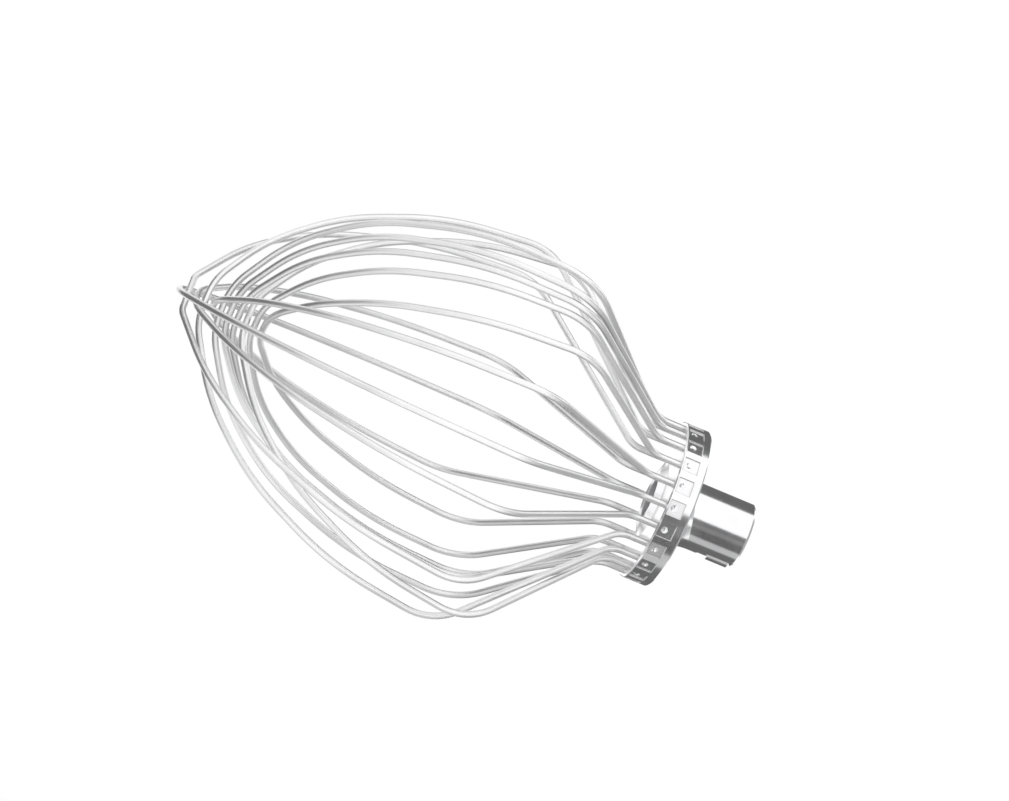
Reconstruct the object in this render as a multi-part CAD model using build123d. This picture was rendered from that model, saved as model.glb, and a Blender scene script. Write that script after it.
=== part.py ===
"""Stand mixer wire whisk: eleven nested wire loops staked into a flanged drive hub.

+Z runs along the drive bore and out of its mouth. The origin is the centre of that mouth, so the
wire cage hangs below it. Azimuths are in degrees, 0 at -Y and 90 at +X.
"""

from build123d import *

import math
import os
from typing import NamedTuple

# Drive bore and socket
BORE_R = 6.35
SOCKET_R = 10.0
SOCKET_LENGTH = 21.8
MOUTH_CHAMFER = 0.7
BORE_CHAMFER = 0.6

# Swell at the socket's root, offset to the slot's side
ROOT_SHIFT = 0.4
ROOT_FLANGE_R = 11.0
ROOT_END_R = 9.6
ROOT_LENGTH = 8.0

# Flange that carries the wire ends
FLANGE_R = 24.9
FLANGE_WIDTH = 8.0
FLANGE_CHAMFER = 0.4
FLANGE_FRONT = -(SOCKET_LENGTH + FLANGE_WIDTH)
BOSS_R = 12.0
BOSS_EDGE_R = 8.2
BOSS_HEIGHT = 1.3

# Bayonet slot for the drive pin at +X, with the lug that stiffens it
SLOT_WIDTH = 5.2
SLOT_DEPTH = 11.5
SLOT_LEG_TURN = 28
LUG_REACH = 11.3
LUG_SHIFT = 6.0
LUG_LENGTH = 8.6
LUG_BEVEL = 1.8

# Wire ends: holes in the flange, and the punched stake mark over each
WIRE_COUNT = 11
END_COUNT = 2 * WIRE_COUNT
END_PITCH = 360 / END_COUNT
HOLE_CIRCLE_R = 23.0
HOLE_DEPTH = 6.0
HOLE_CLEARANCE = 0.02
STAKE_SIDE = 4.7
STAKE_DEPTH = 0.5
STAKE_FROM_FRONT = 3.1
DIMPLE_R = 1.0
DIMPLE_DEPTH = 0.3
DIMPLE_FROM_FRONT = 2.5

# Wire cage, with drops measured down from the flange's front face
WIRE_R = 1.0
NECK_DROP = 8.5
NECK_BEND = 8.0
SHOULDER_BEND = 18.0
TIP_BEND = 20.0
TIP_DROP = 153.5
NEST_STEP = 2.7
TIP_HALF_WIDTH = 7.2
CAGE_LEAN_X = -0.023
CAGE_LEAN_Y = 0.007
BEND_SHARE = 0.45


class Waypoint(NamedTuple):
    """A point between shoulder and tip, as shares of the shoulder's own run to the tip."""

    descent: float
    radius: float
    twist: float


BELLY = [
    Waypoint(descent=0.36, radius=0.94, twist=0.25),
    Waypoint(descent=0.68, radius=0.72, twist=0.55),
    Waypoint(descent=0.88, radius=0.45, twist=0.85),
]


class Loop(NamedTuple):
    """One wire: the hole of its first end, then how its two sides have been bent in use.

    Pairs give the first side and then the side eleven holes on. Swing is the shoulder's turn away
    from its hole, and twist is the turn of the tip.
    """

    hole: int
    swing: tuple
    shoulder: tuple
    drop: tuple
    twist: int
    tip_bend: float = TIP_BEND


# Outermost at the tip first
NEST = [
    Loop(hole=0, swing=(4, 4), shoulder=(57, 58), drop=(47, 47), twist=4),
    Loop(hole=2, swing=(22, 19), shoulder=(55, 60), drop=(48, 53), twist=16, tip_bend=5),
    Loop(hole=1, swing=(4, 4), shoulder=(58, 58), drop=(47, 50), twist=2),
    Loop(hole=3, swing=(27, 31), shoulder=(61, 57), drop=(49, 55), twist=20),
    Loop(hole=-1, swing=(0, -2), shoulder=(56, 60), drop=(47, 56), twist=1),
    Loop(hole=5, swing=(30, 38), shoulder=(57, 59), drop=(41, 45), twist=6),
    Loop(hole=-5, swing=(32, 16), shoulder=(60, 51), drop=(45, 42), twist=11),
    Loop(hole=-4, swing=(17, 13), shoulder=(57, 58), drop=(44, 38), twist=2),
    Loop(hole=4, swing=(2, 6), shoulder=(59, 57), drop=(41, 44), twist=-6),
    Loop(hole=-3, swing=(2, 5), shoulder=(54, 60), drop=(44, 42), twist=-3),
    Loop(hole=-2, swing=(-4, 0), shoulder=(51, 58), drop=(39, 44), twist=0),
]


def at(radius, azimuth, drop):
    """Point at a radius and azimuth about the cage's axis, a drop below the flange's front face.

    That axis is the bore's down to the necks, and below them it leans.
    """
    turn = math.radians(azimuth)
    leaning = max(drop - NECK_DROP, 0)
    return Vector(
        radius * math.sin(turn) + CAGE_LEAN_X * leaning,
        -radius * math.cos(turn) + CAGE_LEAN_Y * leaning,
        FLANGE_FRONT - drop,
    )


def side(hole, swing, shoulder, drop, twist, tip_drop):
    """Points of one side of a loop, from the bottom of its hole to the corner of the tip."""
    hole_azimuth = hole * END_PITCH
    shoulder_azimuth = hole_azimuth + swing
    tip_azimuth = hole_azimuth + twist
    points = [
        at(HOLE_CIRCLE_R, hole_azimuth, -HOLE_DEPTH),
        at(HOLE_CIRCLE_R, hole_azimuth, NECK_DROP),
        at(shoulder, shoulder_azimuth, drop),
    ]
    for way in BELLY:
        azimuth = shoulder_azimuth + way.twist * (tip_azimuth - shoulder_azimuth)
        points.append(at(shoulder * way.radius, azimuth, drop + way.descent * (tip_drop - drop)))
    points.append(at(TIP_HALF_WIDTH, tip_azimuth, tip_drop))
    return points


def widest_bend(before, corner, after):
    """Radius of the arc at a corner that uses a set share of the shorter of its two runs."""
    run_in = corner - before
    run_out = after - corner
    turn = math.radians(run_in.get_angle(run_out))
    return BEND_SHARE * min(run_in.length, run_out.length) / math.tan(turn / 2)


def wire(loop, rank):
    """A loop as a round wire swept along straight runs and tangent arcs."""
    tip_drop = TIP_DROP - rank * NEST_STEP
    first, second = (
        side(hole, swing, shoulder, drop, loop.twist, tip_drop)
        for hole, swing, shoulder, drop in zip(
            (loop.hole, loop.hole + WIRE_COUNT), loop.swing, loop.shoulder, loop.drop
        )
    )
    points = first + second[::-1]
    bends = [widest_bend(*points[i : i + 3]) for i in range(len(points) - 2)]
    bends[0] = bends[-1] = NECK_BEND
    bends[1] = bends[-2] = SHOULDER_BEND
    bends[len(first) - 2] = bends[len(first) - 1] = loop.tip_bend
    path = FilletPolyline(*points, radius=bends)
    section = Plane(origin=path @ 0, z_dir=path % 0) * Circle(WIRE_R)
    return sweep(section, path=path)


def turned(outline, shift=0.0):
    """An outline turned about the bore axis, or about one shifted towards the slot's side."""
    return Pos(X=shift) * Rot(0, 0, 180) * revolve(make_face(outline), Axis.Z)


def hub():
    """Flange, boss and socket in one piece, with its root, lug, bore, slot, holes and stakes."""
    back = -SOCKET_LENGTH
    front = FLANGE_FRONT - BOSS_HEIGHT
    outline = Polyline(
        (0, 0, 0),
        (SOCKET_R - MOUTH_CHAMFER, 0, 0),
        (SOCKET_R, 0, -MOUTH_CHAMFER),
        (SOCKET_R, 0, back),
        (FLANGE_R - FLANGE_CHAMFER, 0, back),
        (FLANGE_R, 0, back - FLANGE_CHAMFER),
        (FLANGE_R, 0, FLANGE_FRONT + FLANGE_CHAMFER),
        (FLANGE_R - FLANGE_CHAMFER, 0, FLANGE_FRONT),
        (BOSS_R, 0, FLANGE_FRONT),
        (BOSS_EDGE_R, 0, front),
        (0, 0, front),
        close=True,
    )
    body = turned(outline) + root() + lug() - bore() - slot()
    for end in range(END_COUNT):
        body -= Rot(0, 0, end * END_PITCH) * stake_and_hole()
    return body


def root():
    """Swell that carries the socket into the flange, fullest on the slot's side."""
    back = -SOCKET_LENGTH
    top = back + ROOT_LENGTH
    flare = TangentArc((ROOT_END_R, 0, top), (ROOT_FLANGE_R, 0, back), tangent=(0, 0, -1))
    rest = Polyline((ROOT_FLANGE_R, 0, back), (0, 0, back), (0, 0, top), (ROOT_END_R, 0, top))
    return turned([flare, rest], ROOT_SHIFT)


def lug():
    """Swell at the socket's mouth that stiffens the slot, bevelled towards the mouth."""
    wide = LUG_REACH - LUG_SHIFT
    outline = Polyline(
        (0, 0, 0),
        (wide - LUG_BEVEL, 0, 0),
        (wide, 0, -LUG_BEVEL),
        (wide, 0, -LUG_LENGTH),
        (0, 0, -LUG_LENGTH),
        close=True,
    )
    return turned(outline, LUG_SHIFT)


def bore():
    """Through bore for the drive shaft, eased where it leaves the front boss."""
    front = FLANGE_FRONT - BOSS_HEIGHT
    outline = Polyline(
        (0, 0, 0),
        (BORE_R, 0, 0),
        (BORE_R, 0, front + BORE_CHAMFER),
        (BORE_R + BORE_CHAMFER, 0, front),
        (0, 0, front),
        close=True,
    )
    return turned(outline)


def slot():
    """Cut through the wall at +X: a way in from the mouth, then a short leg round the socket."""
    half = SLOT_WIDTH / 2
    leg_top = SLOT_WIDTH - SLOT_DEPTH
    way_in = Pos(X=LUG_REACH, Z=-SLOT_DEPTH) * Box(
        2 * LUG_REACH, SLOT_WIDTH, SLOT_DEPTH + 1, align=(Align.CENTER, Align.CENTER, Align.MIN)
    )
    leg = way_in & Pos(Z=leg_top) * Box(
        4 * LUG_REACH, 4 * LUG_REACH, SLOT_WIDTH, align=(Align.CENTER, Align.CENTER, Align.MAX)
    )
    sweep_face = Polyline(
        (BORE_R - 1, 0, leg_top), (LUG_REACH + 1, 0, leg_top), (LUG_REACH + 1, 0, -SLOT_DEPTH),
        (BORE_R - 1, 0, -SLOT_DEPTH), close=True,
    )
    turned = revolve(make_face(sweep_face), Axis.Z, SLOT_LEG_TURN)
    return way_in + turned + Rot(0, 0, SLOT_LEG_TURN) * leg


def stake_and_hole():
    """Hole for a wire end at azimuth 0, with the square punch mark and dimple outside it."""
    drill = Pos(0, -HOLE_CIRCLE_R, FLANGE_FRONT) * Cylinder(
        WIRE_R + HOLE_CLEARANCE, HOLE_DEPTH, align=(Align.CENTER, Align.CENTER, Align.MIN)
    )
    punch = Pos(0, -FLANGE_R, FLANGE_FRONT + STAKE_FROM_FRONT) * Box(
        STAKE_SIDE, 2 * STAKE_DEPTH, STAKE_SIDE
    )
    floor_r = FLANGE_R - STAKE_DEPTH
    ball_r = (DIMPLE_R**2 + DIMPLE_DEPTH**2) / (2 * DIMPLE_DEPTH)
    ball_at = floor_r - DIMPLE_DEPTH + ball_r
    dimple = Pos(0, -ball_at, FLANGE_FRONT + DIMPLE_FROM_FRONT) * Sphere(ball_r)
    return drill + punch + dimple


os.makedirs("parts", exist_ok=True)
export_step(hub(), "parts/hub.step")
for rank, loop in enumerate(NEST):
    export_step(wire(loop, rank), f"parts/wire_{rank + 1:02d}.step")
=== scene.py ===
import math
from typing import NamedTuple

import bmesh
import bpy
from mathutils import Matrix, Vector

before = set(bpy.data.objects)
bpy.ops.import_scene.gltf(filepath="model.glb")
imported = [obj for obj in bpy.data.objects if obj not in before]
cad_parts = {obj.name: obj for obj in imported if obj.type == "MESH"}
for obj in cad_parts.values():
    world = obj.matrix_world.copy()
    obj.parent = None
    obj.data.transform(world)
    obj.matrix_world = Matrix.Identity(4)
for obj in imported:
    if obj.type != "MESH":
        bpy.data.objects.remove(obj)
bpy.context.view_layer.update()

# Lengths are in metres and angles in degrees, apart from the names that end in PX or MM.

# Camera of the photograph, whose image is 1009 x 801 pixels
IMAGE_WIDTH_PX = 1009
FOCAL_PX = 3350
SENSOR_MM = 36.0
ROLL = 22.71
TILT = 7.61
CAMERA_AT = Vector((-0.00998, -0.98430, -0.21380))
CLIP_START = 0.05
CLIP_END = 20.0

# Both steels
CLOUD_DETAIL = 4.0
CLOUD_DARK_AT = 0.3
CLOUD_LIGHT_AT = 0.7
GRAIN_DETAIL = 2.0
BUMP_DEPTH = 0.0001
# Painted shade: a dark grey mixed into both steels' colour wherever ambient occlusion finds
# surfaces close by, in corners, recesses and between wires
PAINTED_SHADE_COLOUR = (0.30, 0.29, 0.28, 1.0)
PAINTED_SHADE_SHARE = 0.55
PAINTED_SHADE_SAMPLES = 8

# Hub alone: turning rings, eased edges, and a bore whose wall is more matt by BORE_MATT
RING_SCALE = 2600.0
RING_DETAIL = 3.0
RING_STRENGTH = 0.08
EDGE_R = 0.00018
EDGE_SAMPLES = 6
BORE_MATT_R = 0.0066
BORE_MATT = 0.22

# Studio
WHITE = (1.0, 1.0, 1.0, 1.0)
WORLD_FILL = 0.7
FLOOR_Z = -0.45
FLOOR_R = 3.0
FLOOR_SEGMENTS = 96
FLOOR_COLOUR = (0.9, 0.9, 0.9, 1.0)
FLOOR_GLOW = 0.25
FADE_FROM_R = 1.0
FADE_TO_R = 2.0
LAMP_AT = Vector((-0.7, -0.5, 0.5))
LAMP_AIM = Vector((0.0, 0.0, -0.09))
LAMP_SIZE = 1.0
LAMP_WATTS = 4.0
FACE_AZIMUTH = 5


class Finish(NamedTuple):
    """One steel's look. Its clouds run from dark to light and from smooth to rough.

    A scale is a noise's scale per metre, and the shade reach is how far the painted shade from
    ambient occlusion spreads from a corner.
    """

    dark: tuple
    light: tuple
    smooth: float
    rough: float
    cloud_scale: float
    grain_scale: float
    grain_strength: float
    # How far the painted shade, darkening from ambient occlusion, reaches from corners and nearby
    # surfaces
    painted_shade_reach: float


HUB = Finish(
    dark=(0.73, 0.73, 0.74),
    light=(0.83, 0.83, 0.84),
    smooth=0.12,
    rough=0.21,
    cloud_scale=90.0,
    grain_scale=1500.0,
    grain_strength=0.04,
    painted_shade_reach=0.0012,
)
WIRE = Finish(
    dark=(0.70, 0.70, 0.70),
    light=(0.78, 0.78, 0.78),
    smooth=0.29,
    rough=0.39,
    cloud_scale=70.0,
    grain_scale=1800.0,
    grain_strength=0.03,
    painted_shade_reach=0.0015,
)


class Panel(NamedTuple):
    """Part of the tent round the bore axis, from one azimuth to another, between two rims.

    Azimuth 0 is the camera's side and 90 is +X. A rim is a radius and a height. Glow is how bright
    the panel is in a reflection.
    """

    azimuths: tuple
    rims: tuple
    glow: float


# Rims that several panels share
BAND = ((0.85, 0.04), (0.85, 0.3))
LOW = ((0.85, -0.6), (0.85, -0.08))
HIGH = ((0.85, 0.4), (0.6, 0.9))

TENT = {
    # The outer wall, seen past all the others
    "white_round": Panel((0, 360), ((0.95, -0.6), (0.95, 1.2)), 1.3),
    # Bands along the socket and round the flange
    "dark_front": Panel((3, 20), BAND, 0.15),
    "stripe": Panel((20, 34), BAND, 0.23),
    "dark_side": Panel((34, 65), BAND, 0.12),
    "light_line": Panel((65, 91), BAND, 0.62),
    "dark_back": Panel((91, 271), ((0.85, 0.05), (0.85, 0.4)), 0.15),
    # Greys in the wires' edges
    "grey_back": Panel((91, 270), ((0.85, -0.08), (0.85, 0.05)), 0.42),
    "grey_left": Panel((91, 150), LOW, 0.60),
    "grey_right": Panel((210, 270), LOW, 0.60),
    # Below: dark under the cage, and white for the front boss
    "dark_below": Panel((0, 360), ((0.06, -0.4), (0.26, -0.4)), 0.35),
    "white_below": Panel((110, 250), ((0.27, -0.4), (0.6, -0.4)), 1.3),
    "dark_tip": Panel((0, 360), ((0.0, -0.225), (0.05, -0.22)), 0.20),
    # Above
    "grey_high": Panel((-80, 10), HIGH, 0.65),
    "grey_side": Panel((35, 130), HIGH, 0.45),
    "grey_above": Panel((0, 360), ((0.0, 0.6), (0.5, 0.6)), 0.50),
    # Close round the cage, to keep the hub's dark bands out of the wires
    "near_front": Panel((-91, 45), ((0.12, -0.115), (0.12, -0.03)), 1.3),
    "near_side": Panel((45, 140), ((0.12, -0.115), (0.12, -0.05)), 0.70),
    "near_back": Panel((140, 269), ((0.12, -0.115), (0.12, -0.065)), 0.85),
}


def emptied(owner):
    """The node tree of a material or a world, with nothing in it."""
    owner.use_nodes = True
    owner.node_tree.nodes.clear()
    return owner.node_tree


def node(tree, kind, inputs=(), **settings):
    """A shader node with its settings, and its inputs given as (name, value or output socket)."""
    made = tree.nodes.new(kind)
    for key, value in settings.items():
        setattr(made, key, value)
    for name, value in inputs:
        if isinstance(value, bpy.types.NodeSocket):
            tree.links.new(value, made.inputs[name])
        else:
            made.inputs[name].default_value = value
    return made


def maths(tree, operation, *values):
    """One operation on values or output sockets."""
    return node(tree, "ShaderNodeMath", enumerate(values), operation=operation).outputs["Value"]


def length(tree, vector):
    """The length of a vector."""
    return node(
        tree, "ShaderNodeVectorMath", [(0, vector)], operation="LENGTH"
    ).outputs["Value"]


def span(tree, value, low, high):
    """A 0 to 1 value mapped to low to high."""
    return node(
        tree, "ShaderNodeMapRange", [("Value", value), ("To Min", low), ("To Max", high)]
    ).outputs["Result"]


def noise(tree, place, scale, detail):
    """Noise of a scale per metre, as a 0 to 1 value."""
    return node(
        tree, "ShaderNodeTexNoise", [("Vector", place), ("Scale", scale), ("Detail", detail)]
    ).outputs["Fac"]


def bump(tree, height, strength, normal=None):
    """A normal that a height disturbs, on top of another normal where one is given."""
    inputs = [("Height", height), ("Strength", strength), ("Distance", BUMP_DEPTH)]
    if normal is not None:
        inputs.append(("Normal", normal))
    return node(tree, "ShaderNodeBump", inputs).outputs["Normal"]


def steel(name):
    """A new node material, its tree and its metal shader joined to the output."""
    material = bpy.data.materials.new(name)
    tree = emptied(material)
    shader = node(tree, "ShaderNodeBsdfPrincipled", [("Metallic", 1.0)])
    node(tree, "ShaderNodeOutputMaterial", [("Surface", shader.outputs["BSDF"])])
    return material, tree, shader


def clouded_with_painted_shade(tree, cloud, finish):
    """A finish's clouded colour, darkened by painted shade in corners, recesses and between close
    surfaces.
    """
    ramp = node(tree, "ShaderNodeValToRGB", [("Fac", cloud)])
    stops = ((CLOUD_DARK_AT, finish.dark), (CLOUD_LIGHT_AT, finish.light))
    for element, (place, colour) in zip(ramp.color_ramp.elements, stops):
        element.position = place
        element.color = (*colour, 1.0)
    # Painted shade: ambient occlusion darkens the colour towards a dark grey wherever other
    # surfaces are near
    shade = node(
        tree,
        "ShaderNodeAmbientOcclusion",
        [("Distance", finish.painted_shade_reach)],
        samples=PAINTED_SHADE_SAMPLES,
    )
    return node(
        tree,
        "ShaderNodeMixRGB",
        [
            ("Fac", span(tree, shade.outputs["AO"], PAINTED_SHADE_SHARE, 0.0)),
            ("Color1", ramp.outputs["Color"]),
            ("Color2", PAINTED_SHADE_COLOUR),
        ],
    ).outputs["Color"]


def turned_steel():
    """Hub: polished steel with turning rings, fine handling marks and a bore left as drilled."""
    material, tree, shader = steel("turned_steel")
    place = node(tree, "ShaderNodeTexCoord").outputs["Object"]
    axes = node(tree, "ShaderNodeSeparateXYZ", [("Vector", place)]).outputs
    flat = node(tree, "ShaderNodeCombineXYZ", [("X", axes["X"]), ("Y", axes["Y"])])
    radius = length(tree, flat.outputs["Vector"])
    ring = node(tree, "ShaderNodeCombineXYZ", [("X", radius), ("Y", axes["Z"])])
    rings = noise(tree, ring.outputs["Vector"], RING_SCALE, RING_DETAIL)
    cloud = noise(tree, place, HUB.cloud_scale, CLOUD_DETAIL)
    grain = noise(tree, place, HUB.grain_scale, GRAIN_DETAIL)
    tree.links.new(clouded_with_painted_shade(tree, cloud, HUB), shader.inputs["Base Color"])
    bored = maths(tree, "LESS_THAN", radius, BORE_MATT_R)
    polish = span(tree, cloud, HUB.smooth, HUB.rough)
    rough = maths(tree, "MULTIPLY_ADD", bored, BORE_MATT, polish)
    tree.links.new(rough, shader.inputs["Roughness"])
    eased = node(
        tree, "ShaderNodeBevel", [("Radius", EDGE_R)], samples=EDGE_SAMPLES
    ).outputs["Normal"]
    turned = bump(tree, rings, RING_STRENGTH, eased)
    marked = bump(tree, grain, HUB.grain_strength, turned)
    tree.links.new(marked, shader.inputs["Normal"])
    return material


def drawn_wire():
    """Wire: bright drawn stainless steel, a little cloudy and finely marked."""
    material, tree, shader = steel("drawn_wire")
    place = node(tree, "ShaderNodeTexCoord").outputs["Object"]
    cloud = noise(tree, place, WIRE.cloud_scale, CLOUD_DETAIL)
    grain = noise(tree, place, WIRE.grain_scale, GRAIN_DETAIL)
    tree.links.new(clouded_with_painted_shade(tree, cloud, WIRE), shader.inputs["Base Color"])
    tree.links.new(span(tree, cloud, WIRE.smooth, WIRE.rough), shader.inputs["Roughness"])
    tree.links.new(bump(tree, grain, WIRE.grain_strength), shader.inputs["Normal"])
    return material


def dress():
    """Gives every CAD node its material."""
    hub_steel = turned_steel()
    wire_steel = drawn_wire()
    for name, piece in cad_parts.items():
        piece.data.materials.clear()
        piece.data.materials.append(hub_steel if name == "hub" else wire_steel)


def place_camera():
    """The photograph's camera: a little below the hub, rolled so that +Z runs right and down."""
    roll = math.radians(ROLL)
    tilt = math.radians(TILT)
    right = Vector(
        (-math.sin(roll), -math.cos(roll) * math.sin(tilt), math.cos(roll) * math.cos(tilt))
    )
    up = Vector(
        (-math.cos(roll), math.sin(roll) * math.sin(tilt), -math.sin(roll) * math.cos(tilt))
    )
    back = right.cross(up)
    data = bpy.data.cameras.new("camera")
    data.sensor_width = SENSOR_MM
    data.lens = SENSOR_MM * FOCAL_PX / IMAGE_WIDTH_PX
    data.clip_start = CLIP_START
    data.clip_end = CLIP_END
    camera = bpy.data.objects.new("camera", data)
    turn = Matrix((right, up, back)).transposed().to_4x4()
    camera.matrix_world = Matrix.Translation(CAMERA_AT) @ turn
    bpy.context.scene.collection.objects.link(camera)
    bpy.context.scene.camera = camera


def seen_rays(tree):
    """1 for a ray from the camera, or one that metal or glass sends on; otherwise 0."""
    path = node(tree, "ShaderNodeLightPath").outputs
    either = maths(tree, "MAXIMUM", path["Is Camera Ray"], path["Is Glossy Ray"])
    return maths(tree, "MAXIMUM", either, path["Is Transmission Ray"])


def white_world():
    """White where it is seen or reflected, and a plain fill elsewhere."""
    world = bpy.data.worlds.new("studio")
    bpy.context.scene.world = world
    tree = emptied(world)
    strength = span(tree, seen_rays(tree), WORLD_FILL, 1.0)
    background = node(tree, "ShaderNodeBackground", [("Color", WHITE), ("Strength", strength)])
    node(tree, "ShaderNodeOutputWorld", [("Surface", background.outputs["Background"])])


def put(name, shape, material):
    """Turns a bmesh into an object of one material, and puts it in the scene."""
    mesh = bpy.data.meshes.new(name)
    shape.to_mesh(mesh)
    shape.free()
    mesh.materials.append(material)
    piece = bpy.data.objects.new(name, mesh)
    bpy.context.scene.collection.objects.link(piece)
    return piece


def white_floor():
    """A pale floor under the hanging whisk, which takes its shadow and turns white far out."""
    material = bpy.data.materials.new("floor")
    tree = emptied(material)
    matte = node(tree, "ShaderNodeBsdfDiffuse", [("Color", FLOOR_COLOUR)])
    glow = node(tree, "ShaderNodeEmission", [("Color", WHITE), ("Strength", FLOOR_GLOW)])
    pale = node(
        tree, "ShaderNodeAddShader", [(0, matte.outputs["BSDF"]), (1, glow.outputs["Emission"])]
    )
    white = node(tree, "ShaderNodeEmission", [("Color", WHITE), ("Strength", 1.0)])
    place = node(tree, "ShaderNodeTexCoord").outputs["Object"]
    far = node(
        tree,
        "ShaderNodeMapRange",
        [
            ("Value", length(tree, place)),
            ("From Min", FADE_FROM_R),
            ("From Max", FADE_TO_R),
            ("To Max", seen_rays(tree)),
        ],
    )
    fading = node(
        tree,
        "ShaderNodeMixShader",
        [
            (0, far.outputs["Result"]),
            (1, pale.outputs["Shader"]),
            (2, white.outputs["Emission"]),
        ],
    )
    node(tree, "ShaderNodeOutputMaterial", [("Surface", fading.outputs["Shader"])])
    shape = bmesh.new()
    bmesh.ops.create_circle(shape, cap_ends=True, radius=FLOOR_R, segments=FLOOR_SEGMENTS)
    floor = put("floor", shape, material)
    floor.location.z = FLOOR_Z


def reflected_only(name, shape, glow):
    """Turns a bmesh into a stage piece that glows evenly and is seen only in reflections."""
    material = bpy.data.materials.new(name)
    tree = emptied(material)
    light = node(tree, "ShaderNodeEmission", [("Color", WHITE), ("Strength", glow)])
    node(tree, "ShaderNodeOutputMaterial", [("Surface", light.outputs["Emission"])])
    piece = put(name, shape, material)
    piece.visible_camera = False
    piece.visible_diffuse = False
    piece.visible_shadow = False


def tent():
    """The panels round, below and above the whisk that give the steel its bands."""
    for name, panel in TENT.items():
        shape = bmesh.new()
        first, last = panel.azimuths
        steps = math.ceil((last - first) / FACE_AZIMUTH)
        columns = []
        for i in range(steps + 1):
            turn = math.radians(first + (last - first) * i / steps)
            columns.append(
                [
                    shape.verts.new((radius * math.sin(turn), -radius * math.cos(turn), z))
                    for radius, z in panel.rims
                ]
            )
        for one, two in zip(columns, columns[1:]):
            shape.faces.new((one[0], one[1], two[1], two[0]))
        reflected_only(name, shape, panel.glow)


def key_lamp():
    """A soft square lamp on the camera's side, aimed at the cage."""
    data = bpy.data.lights.new("key", "AREA")
    data.shape = "SQUARE"
    data.size = LAMP_SIZE
    data.energy = LAMP_WATTS
    light = bpy.data.objects.new("key", data)
    light.location = LAMP_AT
    light.rotation_mode = "QUATERNION"
    light.rotation_quaternion = (LAMP_AIM - LAMP_AT).to_track_quat("-Z", "Y")
    bpy.context.scene.collection.objects.link(light)


dress()
place_camera()
white_world()
white_floor()
tent()
key_lamp()

bpy.context.scene.view_settings.view_transform = "Standard"
